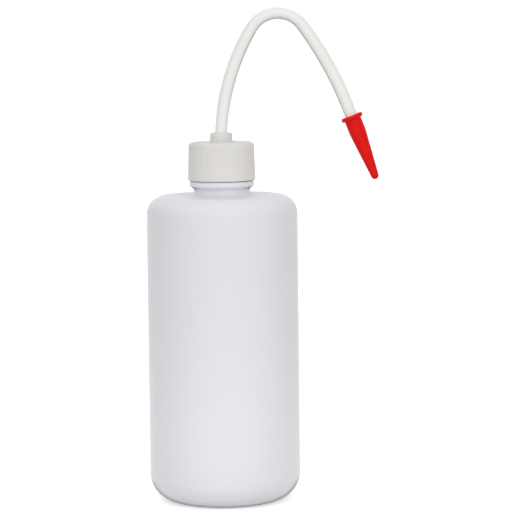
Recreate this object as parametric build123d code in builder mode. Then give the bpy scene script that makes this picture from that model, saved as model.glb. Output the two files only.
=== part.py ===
"""Laboratory wash bottle of half a litre, with its screw cap, seal, bent delivery tube and tip cap.

Squeezing the blown bottle drives the liquid up the dip end of the tube, over the crown and out of
the drawn jet, which a push-on cap closes. Dimensions are in millimetres. The origin is the middle
of the base on the bottle's axis, +Z runs up that axis and the spout bends over towards +X.
"""

import os
from math import atan, cos, degrees, radians, sin

from build123d import *

# Bottle body
BODY_DIAMETER = 75.0
SHOULDER_HEIGHT = 152.5
SHOULDER_RADIUS = 9.5
BASE_RADIUS = 13.5
BODY_WALL = 1.2
STANDING_RING_WIDTH = 2.5
PUSH_UP = 2.4

# Bottle neck
NECK_BORE = 21.6
NECK_HEIGHT = 23.6
NECK_ROOT_RADIUS = 1.2
NECK_MOUTH_RADIUS = 1.5
FINISH_WALL = 1.8
LIP_CHAMFER = 0.5
COLLAR_STEP = 1.25
BEAD_PROJECTION = 2.05
BEAD_FOOT = 3.1
BEAD_BEVEL = 1.3
BEAD_RIM = 2.3
BEAD_EDGE_RADIUS = 0.6

# Screw thread, the same ridge on the neck and inside the cap
THREAD_PITCH = 4.23
THREAD_DEPTH = 1.2
THREAD_CREST = 0.9
THREAD_FLANK = 0.6
NECK_THREAD_TURNS = 1.5
CAP_THREAD_TURNS = 1.2
THREAD_RADIAL_CLEARANCE = 0.3
THREAD_AXIAL_CLEARANCE = 0.15
THREAD_BITE = 0.3

# Screw cap
CAP_WALL = 2.1
CAP_DRAFT = 0.5
CAP_FOOT_GAP = 0.6
CAP_TOP_THICKNESS = 1.6
CAP_TOP_RADIUS = 2.0
CAP_BAND_HEIGHT = 1.8
CAP_MOUTH_CHAMFER = 0.5
RIB_COUNT = 72
RIB_GROOVE_DEPTH = 0.22
RIB_GROOVE_WIDTH = 0.8
BOSS_WALL = 2.3
BOSS_DRAFT = 0.25
BOSS_HEIGHT = 4.6
BOSS_EDGE_RADIUS = 0.8
BOSS_FOOT_RADIUS = 0.4

# Sealing washer
WASHER_THICKNESS = 1.0
WASHER_INSET = 0.1

# Delivery tube
TUBE_BORE = 4.0
TUBE_WALL = 1.0
TUBE_FIT = 0.05
LEAN_DEPTH_IN_BOSS = 1.3
LEAN_RADIUS = 25.0
LEAN_TURN = 2.5
RISE_RADIUS = 109.0
RISE_TURN = 28.4
CROWN_RADIUS = 15.2
CROWN_TURN = 112.6
FALL_RADIUS = 171.0
FALL_TURN = 15.4
FALL_RUN = 4.7
DIP_BEND_RADIUS = 85.0
DIP_BEND_TURN = 17.5
DIP_WALL_GAP = 4.8
DIP_FLOOR_GAP = 4.5
DIP_CUT_ANGLE = 35.0

# Drawn jet at the end of the tube
JET_SEAT = 5.0
JET_TAPER = 16.0
JET_LAND = 4.0
JET_BORE = 1.2
JET_WALL = 0.7

# Push-on tip cap
TIP_FIT = 0.05
TIP_WALL = 1.15
TIP_RIM_PROJECTION = 1.25
TIP_RIM_THICKNESS = 2.0
TIP_RIM_RADIUS = 0.6
TIP_SOCKET_DEPTH = 8.0
TIP_SLEEVE_EXTRA = 1.0
TIP_JET_ROOM = 0.35
TIP_END_ROOM = 2.0
TIP_SOLID_END = 6.8
TIP_NOSE_RADIUS = 1.9

# Radii and heights that follow from the sizes above
body_r = BODY_DIAMETER / 2
ring_outer_r = body_r - BASE_RADIUS
ring_inner_r = ring_outer_r - STANDING_RING_WIDTH
bore_r = NECK_BORE / 2
finish_r = bore_r + FINISH_WALL
collar_r = finish_r + COLLAR_STEP
bead_r = collar_r + BEAD_PROJECTION
lip_z = SHOULDER_HEIGHT + NECK_HEIGHT
bead_z = SHOULDER_HEIGHT + BEAD_FOOT
bead_top_z = bead_z + BEAD_BEVEL + BEAD_RIM

cap_bore_r = finish_r + THREAD_DEPTH + THREAD_RADIAL_CLEARANCE
cap_top_r = cap_bore_r + CAP_WALL
cap_foot_r = cap_top_r + CAP_DRAFT
cap_foot_z = bead_top_z + CAP_FOOT_GAP
cap_roof_z = lip_z + WASHER_THICKNESS
cap_top_z = cap_roof_z + CAP_TOP_THICKNESS
cap_band_z = cap_foot_z + CAP_BAND_HEIGHT

tube_bore_r = TUBE_BORE / 2
tube_r = tube_bore_r + TUBE_WALL
tube_hole_r = tube_r + TUBE_FIT
boss_r = tube_hole_r + BOSS_WALL
boss_top_z = cap_top_z + BOSS_HEIGHT

# Both ridges start on +X: the cap's lies just under the neck's, flank against flank
thread_slope = THREAD_FLANK / THREAD_DEPTH
thread_root = THREAD_CREST + 2 * THREAD_FLANK
neck_thread_z = (cap_foot_z + lip_z - NECK_THREAD_TURNS * THREAD_PITCH) / 2
flanks_meet = thread_root - thread_slope * (cap_bore_r - finish_r)
cap_thread_z = neck_thread_z - flanks_meet - THREAD_AXIAL_CLEARANCE


def body_wall(inset: float) -> Edge:
    """Draw the body's wall from the middle of its base to the edge of its shoulder.

    Args:
        inset: Distance inside the outer skin, 0 for the skin itself.

    Returns:
        The last edge, which ends at the shoulder on its way to the neck.
    """
    # Two equal arcs lower the pushed-up middle smoothly to the standing ring
    sweep_angle = 2 * degrees(atan(PUSH_UP / ring_inner_r))
    push_up_r = ring_inner_r / (2 * sin(radians(sweep_angle)))
    crown = JernArc((0, PUSH_UP + inset), (1, 0), push_up_r + inset, -sweep_angle)
    heel = JernArc(crown @ 1, crown % 1, push_up_r - inset, sweep_angle)
    ring = Line(heel @ 1, (ring_outer_r, inset))
    corner = JernArc(ring @ 1, (1, 0), BASE_RADIUS - inset, 90)
    side = Line(corner @ 1, (body_r - inset, SHOULDER_HEIGHT - SHOULDER_RADIUS))
    return JernArc(side @ 1, (0, 1), SHOULDER_RADIUS - inset, 90)


def thread_ridge(radius: float, start_z: float, turns: float, outward: int) -> Part:
    """Make a helical ridge of trapezoid section that bites a little into the wall behind it.

    Args:
        radius: Radius of the wall that carries the ridge.
        start_z: Height of the ridge's middle where it starts, on +X.
        turns: Number of turns that the ridge makes.
        outward: 1 for a ridge that points away from the axis, -1 for one that points to it.

    Returns:
        The ridge as a part of its own.
    """
    root_half = thread_root / 2 + THREAD_BITE * thread_slope
    with BuildPart() as ridge:
        with BuildLine():
            helix = Helix(THREAD_PITCH, turns * THREAD_PITCH, radius, center=(0, 0, start_z))
        with BuildSketch(Plane(origin=helix @ 0, x_dir=(outward, 0, 0), z_dir=helix % 0)):
            Polygon(
                (-THREAD_BITE, -root_half),
                (THREAD_DEPTH, -THREAD_CREST / 2),
                (THREAD_DEPTH, THREAD_CREST / 2),
                (-THREAD_BITE, root_half),
                align=None,
            )
        sweep(path=helix, is_frenet=True)
    return ridge.part


def rod(radius: float, jet_radius: float) -> Part:
    """Fill the tube's whole route, from the dip end to the mouth of the jet.

    Args:
        radius: Radius along the swept route.
        jet_radius: Radius of the jet's straight land.

    Returns:
        The rod as a part: the tube's outside, or its bore.
    """
    with BuildPart() as fill:
        with BuildSketch(jet_plane):
            Circle(radius)
        sweep(path=route.wire())
        with BuildSketch(jet_plane):
            Circle(radius)
        with BuildSketch(jet_plane.offset(JET_TAPER)):
            Circle(jet_radius)
        loft()
        with BuildSketch(jet_plane.offset(JET_TAPER)):
            Circle(jet_radius)
        extrude(amount=JET_LAND)
    return fill.part


neck_thread = thread_ridge(finish_r, neck_thread_z, NECK_THREAD_TURNS, 1)
cap_thread = thread_ridge(cap_bore_r, cap_thread_z, CAP_THREAD_TURNS, -1)

# Bottle: the outer skin with its neck, bead and lip, then the hollow one wall further in
with BuildPart() as bottle:
    with BuildSketch(Plane.XZ):
        with BuildLine():
            skin = body_wall(0)
            shoulder = Line(skin @ 1, (collar_r + NECK_ROOT_RADIUS, SHOULDER_HEIGHT))
            root = JernArc(shoulder @ 1, (-1, 0), NECK_ROOT_RADIUS, -90)
            bead = Polyline(
                root @ 1,
                (collar_r, bead_z),
                (bead_r, bead_z + BEAD_BEVEL),
                (bead_r, bead_top_z - BEAD_EDGE_RADIUS),
            )
            bead_edge = JernArc(bead @ 1, (0, 1), BEAD_EDGE_RADIUS, 90)
            Polyline(
                bead_edge @ 1,
                (finish_r, bead_top_z),
                (finish_r, lip_z - LIP_CHAMFER),
                (finish_r - LIP_CHAMFER, lip_z),
                (0, lip_z),
                (0, PUSH_UP),
            )
        make_face()
    revolve(axis=Axis.Z)
    with BuildSketch(Plane.XZ):
        with BuildLine():
            hollow = body_wall(BODY_WALL)
            ceiling = Line(hollow @ 1, (bore_r + NECK_MOUTH_RADIUS, SHOULDER_HEIGHT - BODY_WALL))
            mouth = JernArc(ceiling @ 1, (-1, 0), NECK_MOUTH_RADIUS, -90)
            Polyline(mouth @ 1, (bore_r, lip_z), (0, lip_z), (0, PUSH_UP + BODY_WALL))
        make_face()
    revolve(axis=Axis.Z, mode=Mode.SUBTRACT)
    add(neck_thread)
bottle.part.label = "bottle"

# Sealing washer: a soft disc between the lip and the cap's roof, pierced for the tube
with BuildPart() as sealing_washer:
    with BuildSketch(Plane.XY.offset(lip_z)):
        Circle(finish_r - WASHER_INSET)
        Circle(tube_hole_r, mode=Mode.SUBTRACT)
    extrude(amount=WASHER_THICKNESS)
sealing_washer.part.label = "sealing_washer"

# One groove between two grip ribs: it follows the skirt's draft and runs out in the top rounding
skirt_foot = Vector(cap_foot_r, 0, cap_foot_z)
skirt_top = Vector(cap_top_r, 0, cap_top_z - CAP_TOP_RADIUS)
skirt_up = (skirt_top - skirt_foot).normalized()
groove_start = skirt_foot + skirt_up * (CAP_BAND_HEIGHT / skirt_up.Z)
with BuildPart() as rib_groove:
    with BuildSketch(Plane(origin=groove_start, x_dir=(0, 1, 0), z_dir=skirt_up)):
        Polygon(
            (-RIB_GROOVE_WIDTH, -RIB_GROOVE_DEPTH),
            (0, RIB_GROOVE_DEPTH),
            (RIB_GROOVE_WIDTH, -RIB_GROOVE_DEPTH),
            align=None,
        )
    extrude(amount=cap_top_z - cap_band_z)

# Screw cap: ribbed skirt, flat top and the boss that grips the tube
with BuildPart() as screw_cap:
    with BuildSketch(Plane.XZ):
        with BuildLine():
            roof_edge = Line((cap_bore_r, cap_roof_z), (cap_bore_r, cap_foot_z + CAP_MOUTH_CHAMFER))
            foot = Polyline(
                roof_edge @ 1,
                (cap_bore_r + CAP_MOUTH_CHAMFER, cap_foot_z),
                (cap_foot_r, cap_foot_z),
                (cap_top_r, cap_top_z - CAP_TOP_RADIUS),
            )
            top_edge = JernArc(foot @ 1, (0, 1), CAP_TOP_RADIUS, 90)
            boss_foot_r = boss_r + BOSS_DRAFT + BOSS_FOOT_RADIUS
            top = Line(top_edge @ 1, (boss_foot_r, cap_top_z))
            fillet_edge = JernArc(top @ 1, (-1, 0), BOSS_FOOT_RADIUS, -90)
            boss_side = Line(fillet_edge @ 1, (boss_r, boss_top_z - BOSS_EDGE_RADIUS))
            boss_edge = JernArc(boss_side @ 1, (0, 1), BOSS_EDGE_RADIUS, 90)
            Polyline(
                boss_edge @ 1,
                (tube_hole_r, boss_top_z),
                (tube_hole_r, cap_roof_z),
                roof_edge @ 0,
            )
        make_face()
    revolve(axis=Axis.Z)
    with PolarLocations(0, RIB_COUNT):
        add(rib_groove.part, mode=Mode.SUBTRACT)
    add(cap_thread)
screw_cap.part.label = "screw_cap"

# Route of the tube: straight through seal and boss, leaning a little where it leaves the boss, up
# over the crown and down to the jet, and below the seal down to the edge of the base on the side
# away from the spout
dip_end = (-(ring_outer_r + DIP_WALL_GAP), BODY_WALL + DIP_FLOOR_GAP + tube_r)
with BuildLine(Plane.XZ) as route:
    stem = Line((0, lip_z), (0, boss_top_z - LEAN_DEPTH_IN_BOSS))
    lean = JernArc(stem @ 1, stem % 1, LEAN_RADIUS, -LEAN_TURN)
    rise = JernArc(lean @ 1, lean % 1, RISE_RADIUS, -RISE_TURN)
    crown = JernArc(rise @ 1, rise % 1, CROWN_RADIUS, -CROWN_TURN)
    fall = JernArc(crown @ 1, crown % 1, FALL_RADIUS, -FALL_TURN)
    Line(fall @ 1, fall @ 1 + (fall % 1) * (FALL_RUN + JET_SEAT))
    dip_bend = JernArc(stem @ 0, (0, -1), DIP_BEND_RADIUS, -DIP_BEND_TURN)
    dip_run = TangentArc(dip_bend @ 1, dip_end, tangent=dip_bend % 1)

spout_direction = fall % 1
tip_rim = fall @ 1 + spout_direction * FALL_RUN
jet_plane = Plane(
    origin=tip_rim + spout_direction * JET_SEAT, x_dir=(0, 1, 0), z_dir=spout_direction
)
tube_skin = rod(tube_r, JET_BORE / 2 + JET_WALL)
tube_bore = rod(tube_bore_r, JET_BORE / 2)
dip_cut = Plane(
    origin=(dip_end[0] - tube_r, 0, dip_end[1]),
    z_dir=(-sin(radians(DIP_CUT_ANGLE)), 0, cos(radians(DIP_CUT_ANGLE))),
)

# Delivery tube: one bent tube, drawn to a jet at the spout and cut on a slant at the dip end
with BuildPart() as delivery_tube:
    add(tube_skin)
    add(tube_bore, mode=Mode.SUBTRACT)
    split(bisect_by=dip_cut, keep=Keep.TOP)
delivery_tube.part.label = "delivery_tube"

# Tip cap: a blind cone with a finger rim that slides over the jet, drawn along the spout's end
socket_r = tube_r + TIP_FIT
sleeve_r = socket_r + TIP_WALL
pocket_r = JET_BORE / 2 + JET_WALL + TIP_JET_ROOM
pocket_end = JET_SEAT + JET_TAPER + JET_LAND + TIP_END_ROOM
sleeve_end = TIP_SOCKET_DEPTH + TIP_SLEEVE_EXTRA
tip_length = pocket_end + TIP_SOLID_END
tip_plane = Plane(
    origin=tip_rim, x_dir=(0, 1, 0), z_dir=Vector(0, 1, 0).cross(spout_direction)
)
with BuildPart() as tip_cap:
    with BuildSketch(tip_plane):
        with BuildLine():
            rim_r = sleeve_r + TIP_RIM_PROJECTION
            rim_face = Line((socket_r, 0), (rim_r - TIP_RIM_RADIUS, 0))
            rim_edge = JernArc(rim_face @ 1, (1, 0), TIP_RIM_RADIUS, 90)
            sleeve = Polyline(
                rim_edge @ 1,
                (rim_r, TIP_RIM_THICKNESS),
                (sleeve_r, TIP_RIM_THICKNESS),
                (sleeve_r, sleeve_end),
                (TIP_NOSE_RADIUS, tip_length - TIP_NOSE_RADIUS),
            )
            nose = RadiusArc(sleeve @ 1, (0, tip_length), -TIP_NOSE_RADIUS)
            Polyline(
                nose @ 1,
                (0, pocket_end),
                (pocket_r, pocket_end),
                (socket_r, TIP_SOCKET_DEPTH),
                rim_face @ 0,
            )
        make_face()
    revolve(axis=Axis(tip_rim, spout_direction))
tip_cap.part.label = "tip_cap"

os.makedirs("parts", exist_ok=True)
export_step(bottle.part, "parts/bottle.step")
export_step(sealing_washer.part, "parts/sealing_washer.step")
export_step(screw_cap.part, "parts/screw_cap.step")
export_step(delivery_tube.part, "parts/delivery_tube.step")
export_step(tip_cap.part, "parts/tip_cap.step")
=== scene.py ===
"""Looks of a laboratory wash bottle: milky squeeze bottle, ribbed cap, bent tube and red tip cap.

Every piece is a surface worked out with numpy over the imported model: a profile turned about an
axis, or a section carried along a path. Lengths are in metres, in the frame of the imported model.
"""

from __future__ import annotations

import logging
import math
from dataclasses import dataclass
from enum import Enum

import bpy
import numpy as np
from mathutils import Matrix, Vector

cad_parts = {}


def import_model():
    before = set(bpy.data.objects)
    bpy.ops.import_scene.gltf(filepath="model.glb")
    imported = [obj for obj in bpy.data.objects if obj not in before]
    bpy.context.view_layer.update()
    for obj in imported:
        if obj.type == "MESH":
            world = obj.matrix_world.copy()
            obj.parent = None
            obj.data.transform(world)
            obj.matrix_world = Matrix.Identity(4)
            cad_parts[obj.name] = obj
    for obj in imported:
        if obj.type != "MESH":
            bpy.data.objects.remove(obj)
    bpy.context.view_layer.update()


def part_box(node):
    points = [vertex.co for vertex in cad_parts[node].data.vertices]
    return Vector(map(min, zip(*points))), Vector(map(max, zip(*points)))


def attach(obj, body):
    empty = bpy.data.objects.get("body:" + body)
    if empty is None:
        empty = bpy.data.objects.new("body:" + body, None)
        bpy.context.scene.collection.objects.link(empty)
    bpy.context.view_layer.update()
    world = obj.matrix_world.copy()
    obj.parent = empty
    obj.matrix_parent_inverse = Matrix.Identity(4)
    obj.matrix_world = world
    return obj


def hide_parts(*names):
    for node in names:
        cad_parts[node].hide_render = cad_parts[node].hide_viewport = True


LOG = logging.getLogger("wash_bottle")
MM = 0.001
# Two points that lie closer than this count as one
SAME_POINT = 1e-7
# A point that lies closer than this to the Z axis counts as on it
ON_AXIS = 1e-9

Colour = tuple[float, float, float]
Direction = tuple[float, float, float]
Point = tuple[float, float]
Socket = bpy.types.NodeSocket
Source = Socket | float | tuple[float, ...]


class Piece(Enum):
    """A piece of the object: its CAD node, the body that it rides on and its material slot."""

    BOTTLE = ("bottle", "bottle", "ldpe_bottle")
    WASHER = ("sealing_washer", "seal", "foam_seal")
    CAP = ("screw_cap", "cap", "cap_plastic")
    TUBE = ("delivery_tube", "spout", "ldpe_tube")
    TIP = ("tip_cap", "tip", "red_tip")

    @property
    def node(self) -> str:
        """Name of the CAD node."""
        return self.value[0]

    @property
    def body(self) -> str:
        """Name of the body that the piece rides on."""
        return self.value[1]

    @property
    def slot(self) -> str:
        """Name of the record's material slot."""
        return self.value[2]

    @property
    def bottom(self) -> float:
        """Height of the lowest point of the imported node."""
        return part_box(self.node)[0][2]

    @property
    def top(self) -> float:
        """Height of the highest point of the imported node."""
        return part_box(self.node)[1][2]


class Ramp(Enum):
    """How a Map Range node goes from one end to the other."""

    STRAIGHT = "LINEAR"
    EASED = "SMOOTHSTEP"


class Operation(Enum):
    """A calculation of a Math node."""

    ADD = "ADD"
    SUBTRACT = "SUBTRACT"
    MULTIPLY = "MULTIPLY"
    MULTIPLY_ADD = "MULTIPLY_ADD"
    MAXIMUM = "MAXIMUM"
    POWER = "POWER"


def smoothstep(value: np.ndarray, start: float, full: float) -> np.ndarray:
    """Ease from 0 to 1: 3t² - 2t³, with t the share of the way from start to full, clipped.

    Args:
        value: The values.
        start: Value with the result 0.
        full: Value with the result 1. It may be the smaller one.

    Returns:
        The result for each value.
    """
    t = np.clip((value - start) / (full - start), 0.0, 1.0)
    return t * t * (3.0 - 2.0 * t)


def line(start: Point, end: Point, count: int = 6) -> np.ndarray:
    """Sample a straight run more densely towards its ends, so that shading stays flat between them.

    Args:
        start: First point, as radius and height.
        end: Last point.
        count: Number of points.

    Returns:
        Points on start + (end - start) · (1 - cos πt) / 2 for even t.
    """
    share = (1.0 - np.cos(np.linspace(0.0, math.pi, count))) / 2.0
    return np.outer(1.0 - share, start) + np.outer(share, end)


def arc(centre: Point, radius: float, start: float, end: float, count: int = 9) -> np.ndarray:
    """Sample a circular arc evenly.

    Args:
        centre: Centre of the arc, as radius and height.
        radius: Radius of the arc.
        start: Angle of its first point in degrees, from the direction of growing radius.
        end: Angle of its last point in degrees.
        count: Number of points.

    Returns:
        Points on centre + radius · (cos a, sin a).
    """
    angle = np.radians(np.linspace(start, end, count))
    return np.column_stack([centre[0] + radius * np.cos(angle), centre[1] + radius * np.sin(angle)])


def joined(*runs: np.ndarray) -> np.ndarray:
    """Join runs of points end to end and drop each point that repeats the one before it.

    Args:
        *runs: Points of each run.

    Returns:
        The points of one line.
    """
    points = np.vstack(runs)
    step = np.linalg.norm(np.diff(points, axis=0), axis=1)
    return points[np.concatenate([[True], step > SAME_POINT])]


def ring_quads(rows: int, columns: int, closed: bool) -> np.ndarray:
    """Index the quads of a grid whose columns close into rings.

    Args:
        rows: Number of rings.
        columns: Number of points in each ring.
        closed: Whether the last ring also joins the first one.

    Returns:
        An array of four point indices for each quad.
    """
    row = np.arange(rows if closed else rows - 1)[:, None]
    column = np.arange(columns)[None, :]
    following = (row + 1) % rows
    beside = (column + 1) % columns
    corners = [row * columns + column, row * columns + beside]
    corners += [following * columns + beside, following * columns + column]
    return np.stack(np.broadcast_arrays(*corners), axis=-1).reshape(-1, 4)


def signed_volume(points: np.ndarray, faces: np.ndarray) -> float:
    """Work out the volume inside quads by the divergence theorem.

    Args:
        points: Points as an array of three columns.
        faces: Four point indices for each quad.

    Returns:
        The volume, negative where the faces point inwards.
    """
    a, b, c, d = (points[faces[:, k]] for k in range(4))
    halves = np.einsum("ij,ij->i", a, np.cross(b, c)) + np.einsum("ij,ij->i", a, np.cross(c, d))
    return float(halves.sum()) / 6.0


def solid_from_rings(name: str, rings: np.ndarray, closed: bool) -> bpy.types.Object:
    """Make a closed smooth mesh object from a grid of rings.

    Args:
        name: Name of the object.
        rings: Points as an array of rings by columns by three.
        closed: Whether the last ring joins the first. Otherwise both are closed by their middle.

    Returns:
        The object, linked to the scene, with its faces pointing outwards.
    """
    rows, columns, _ = rings.shape
    points = rings.reshape(-1, 3)
    quads = ring_quads(rows, columns, closed)
    if not closed:
        # A fan is written as quads that name their pole twice, so one rule serves all faces
        first, last = len(points), len(points) + 1
        points = np.vstack([points, rings[0].mean(axis=0), rings[-1].mean(axis=0)])
        here = np.arange(columns)
        beside = (here + 1) % columns
        pole = np.full(columns, first)
        start_fan = np.stack([pole, pole, beside, here], axis=-1)
        far = (rows - 1) * columns
        pole = np.full(columns, last)
        end_fan = np.stack([far + here, far + beside, pole, pole], axis=-1)
        quads = np.vstack([quads, start_fan, end_fan])
    if signed_volume(points, quads) < 0.0:
        quads = quads[:, ::-1]
    faces = [tuple(dict.fromkeys(face)) for face in quads.tolist()]
    mesh = bpy.data.meshes.new(name)
    mesh.from_pydata(points.tolist(), [], faces)
    mesh.polygons.foreach_set("use_smooth", np.ones(len(faces), dtype=bool))
    mesh.validate()
    piece = bpy.data.objects.new(name, mesh)
    bpy.context.scene.collection.objects.link(piece)
    return piece


def turned(profile: np.ndarray, angles: np.ndarray) -> np.ndarray:
    """Turn a profile about +Z.

    Args:
        profile: Points as radius and height.
        angles: Angles of the columns in radians.

    Returns:
        The grid (r cos a, r sin a, z) as profile points by angles by three.
    """
    radius = np.repeat(profile[:, :1], len(angles), axis=1)
    height = np.repeat(profile[:, 1:], len(angles), axis=1)
    return np.stack([radius * np.cos(angles), radius * np.sin(angles), height], axis=-1)


def even_angles(count: int) -> np.ndarray:
    """Angles of count even steps round a full turn, in radians."""
    return np.arange(count) * (2.0 * math.pi / count)


def stretch_radially(rings: np.ndarray, change: np.ndarray) -> np.ndarray:
    """Move each point of a turned grid away from the Z axis.

    Args:
        rings: The grid.
        change: How far each of its points moves, in metres.

    Returns:
        The moved grid. Points on the axis stay.
    """
    radius = np.hypot(rings[..., 0], rings[..., 1])
    scale = np.where(radius > ON_AXIS, (radius + change) / np.maximum(radius, ON_AXIS), 1.0)
    moved = rings.copy()
    moved[..., :2] *= scale[..., None]
    return moved


class ShaderGraph:
    """The nodes of a material or a world, written as calculations on their sockets."""

    def __init__(self, owner: bpy.types.Material | bpy.types.World) -> None:
        """Switch on the nodes and take them over.

        Args:
            owner: The material or world that they belong to.
        """
        owner.use_nodes = True
        self.nodes = owner.node_tree.nodes
        self.links = owner.node_tree.links

    def feed(self, target: Socket, value: Source) -> None:
        """Give an input its value.

        Args:
            target: The input.
            value: A socket to link to it, or a constant to write on it.
        """
        if isinstance(value, Socket):
            self.links.new(value, target)
        else:
            target.default_value = value

    def calculate(self, operation: Operation, *values: Source) -> Socket:
        """Add a Math node.

        Args:
            operation: Its operation.
            *values: Its inputs.

        Returns:
            The result.
        """
        node = self.nodes.new("ShaderNodeMath")
        node.operation = operation.value
        for target, value in zip(node.inputs, values):
            self.feed(target, value)
        return node.outputs["Value"]

    def remap(self, value: Source, span: Point, onto: Point, ramp: Ramp) -> Socket:
        """Carry a value from one span onto another, clamped at both ends.

        Args:
            value: The value.
            span: Where it starts and ends.
            onto: What these two become.
            ramp: How it goes from one to the other.

        Returns:
            The new value.
        """
        node = self.nodes.new("ShaderNodeMapRange")
        node.interpolation_type = ramp.value
        names = ("Value", "From Min", "From Max", "To Min", "To Max")
        for name, source in zip(names, (value, *span, *onto)):
            self.feed(node.inputs[name], source)
        return node.outputs["Result"]

    def mix(self, share: Source, first: Colour | Socket, second: Colour) -> Socket:
        """Mix two colours.

        Args:
            share: Share of the second colour.
            first: First colour, as a constant or a socket.
            second: Second colour.

        Returns:
            The mixed colour.
        """
        node = self.nodes.new("ShaderNodeMix")
        node.data_type = "RGBA"
        self.feed(node.inputs["Factor"], share)
        self.feed(node.inputs["A"], first if isinstance(first, Socket) else (*first, 1.0))
        self.feed(node.inputs["B"], (*second, 1.0))
        return node.outputs["Result"]

    def noise(self, place: Socket, width: float, detail: float) -> Socket:
        """Add a noise texture.

        Args:
            place: Coordinates that it reads.
            width: Width of its patches.
            detail: Number of finer layers in it.

        Returns:
            Its value from 0 to 1.
        """
        node = self.nodes.new("ShaderNodeTexNoise")
        node.inputs["Scale"].default_value = 1.0 / width
        node.inputs["Detail"].default_value = detail
        self.feed(node.inputs["Vector"], place)
        return node.outputs["Fac"]


@dataclass(frozen=True)
class Finish:
    """A moulded plastic: two close tones, a sheen that drifts, and a fine skin.

    Attributes:
        name: Name of the material.
        tone: Main colour.
        second_tone: Colour of its paler or duller patches.
        patch_size: Width of the patches.
        roughness: Middle of the roughness.
        roughness_drift: How far the roughness drifts to either side.
        grain_size: Width of the skin's grain.
        grain_height: Height of the skin's grain.
        draw: How much longer patches and grain run along Z than across it.
        subsurface: Share of light scattered inside.
        scatter: How many millimetres red, green and blue light travel inside.
        specular: Level of the mirror-like part, 0.5 for plain plastic.
        painted_edge_shade: Strength of the painted shade, a grey line where a wall that faces down is seen
            edge on.
        painted_shade_span: How far it is turned away, from 0 to 1, where that painted shade starts and is
            full.
        painted_shade_fall: How much it faces down, as the height of its normal, where the painted shade is
            full.
        painted_shade_tone: Colour of the painted shade.
        ior: Index of refraction.
        patch_detail: Finer layers in the patches.
        grain_detail: Finer layers in the grain.
        patch_spread: Span of the patches' noise over which the roughness drifts.
    """

    name: str
    tone: Colour
    second_tone: Colour
    patch_size: float
    roughness: float
    roughness_drift: float
    grain_size: float
    grain_height: float
    draw: float = 1.0
    subsurface: float = 0.0
    scatter: Colour = (1.0, 1.0, 1.0)
    specular: float = 0.5
    # Painted shade along lower edges that face down, left out when its strength is nought
    painted_edge_shade: float = 0.0
    painted_shade_span: Point = (0.60, 0.86)
    painted_shade_fall: float = -0.45
    painted_shade_tone: Colour = (0.16, 0.16, 0.16)
    ior: float = 1.5
    patch_detail: float = 3.0
    grain_detail: float = 4.0
    patch_spread: Point = (0.3, 0.7)

    def material(self) -> bpy.types.Material:
        """Make the material, with noise on Object coordinates in colour, roughness and bump.

        Returns:
            The material.
        """
        material = bpy.data.materials.new(self.name)
        graph = ShaderGraph(material)
        inputs = graph.nodes["Principled BSDF"].inputs
        place = graph.nodes.new("ShaderNodeTexCoord").outputs["Object"]
        drawn = graph.nodes.new("ShaderNodeMapping")
        drawn.inputs["Scale"].default_value = (1.0, 1.0, 1.0 / self.draw)
        graph.feed(drawn.inputs["Vector"], place)
        place = drawn.outputs["Vector"]

        patches = graph.noise(place, self.patch_size, self.patch_detail)
        tone = graph.mix(patches, self.tone, self.second_tone)
        # Painted shade: the base colour goes grey along lower edges that face down and are seen edge on
        if self.painted_edge_shade > 0.0:
            tone = graph.mix(self._painted_edge_shade(graph), tone, self.painted_shade_tone)
        graph.feed(inputs["Base Color"], tone)

        drift = (self.roughness - self.roughness_drift, self.roughness + self.roughness_drift)
        sheen = graph.remap(patches, self.patch_spread, drift, Ramp.STRAIGHT)
        graph.feed(inputs["Roughness"], sheen)

        skin = graph.nodes.new("ShaderNodeBump")
        skin.inputs["Strength"].default_value = 1.0
        skin.inputs["Distance"].default_value = self.grain_height
        graph.feed(skin.inputs["Height"], graph.noise(place, self.grain_size, self.grain_detail))
        graph.feed(inputs["Normal"], skin.outputs["Normal"])

        graph.feed(inputs["IOR"], self.ior)
        graph.feed(inputs["Specular IOR Level"], self.specular)
        graph.feed(inputs["Subsurface Weight"], self.subsurface)
        graph.feed(inputs["Subsurface Radius"], self.scatter)
        graph.feed(inputs["Subsurface Scale"], MM)
        return material

    def _painted_edge_shade(self, graph: ShaderGraph) -> Socket:
        """Find where to paint shade: where the wall faces down and turns away from the eye.

        Milky plastic passes light along inside it, and little comes in from below. This paints that shade
        into the base colour as a thin grey line: round the base, under the bead and inside the tube's arch.
        It reads Layer Weight's facing, so it follows the camera.

        Args:
            graph: Nodes of the material.

        Returns:
            The painted shade's strength at each point.
        """
        facing = graph.nodes.new("ShaderNodeLayerWeight")
        facing.inputs["Blend"].default_value = 0.5
        turned_away = graph.remap(facing.outputs["Facing"], self.painted_shade_span, (0.0, 1.0), Ramp.EASED)
        surface = graph.nodes.new("ShaderNodeNewGeometry")
        parts = graph.nodes.new("ShaderNodeSeparateXYZ")
        graph.feed(parts.inputs["Vector"], surface.outputs["Normal"])
        low = graph.remap(parts.outputs["Z"], (0.0, self.painted_shade_fall), (0.0, 1.0), Ramp.EASED)
        both = graph.calculate(Operation.MULTIPLY, turned_away, low)
        return graph.calculate(Operation.MULTIPLY, both, self.painted_edge_shade)


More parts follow.
